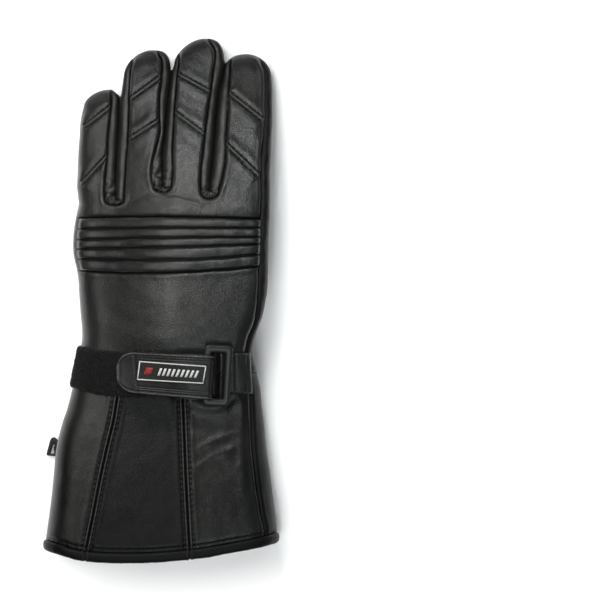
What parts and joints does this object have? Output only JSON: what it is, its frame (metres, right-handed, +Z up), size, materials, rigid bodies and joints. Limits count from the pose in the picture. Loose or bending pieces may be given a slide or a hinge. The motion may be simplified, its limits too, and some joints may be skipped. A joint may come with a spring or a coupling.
{
  "type": "motorcycle glove",
  "caption": "Black leather left-hand riding glove with a flared cuff, ribbed knuckle pad, wrist strap with a ring buckle, and the thumb folded under the palm.",
  "frame": {"origin": "centre of the base: middle of the glove's length and width, on the floor it lies on", "axes": "+Z up from the floor, +Y towards the fingertips, +X towards the index finger"},
  "size_m": [0.1456, 0.3251, 0.0509],
  "materials": {
    "leather": "soft sheen, fine grain",
    "cuff_leather": "soft sheen, fine grain",
    "loop_tape": "matte looped pile",
    "strap": "matte leather",
    "patch": "matte with a pale printed border",
    "plastic": "satin moulded"
  },
  "bodies": {
    "root": {"hand_back": "leather", "knuckle_pad": "leather", "wrist_back": "leather", "index_side_strip": "leather", "fourchette_little_ring": "leather", "fourchette_ring_middle": "leather", "fourchette_middle_index": "leather", "palm": "leather", "thumb": "leather", "gauntlet_back_little": "cuff_leather", "gauntlet_back_middle": "cuff_leather", "gauntlet_back_index": "cuff_leather", "gauntlet_palm": "cuff_leather", "cuff_binding": "cuff_leather", "loop_tape": "loop_tape", "strap_tab": "strap", "anchor_strap": "strap", "hook_tab": "strap", "label_patch": "patch", "buckle": "plastic", "cuff_hook": "plastic"}
  },
  "joints": []
}
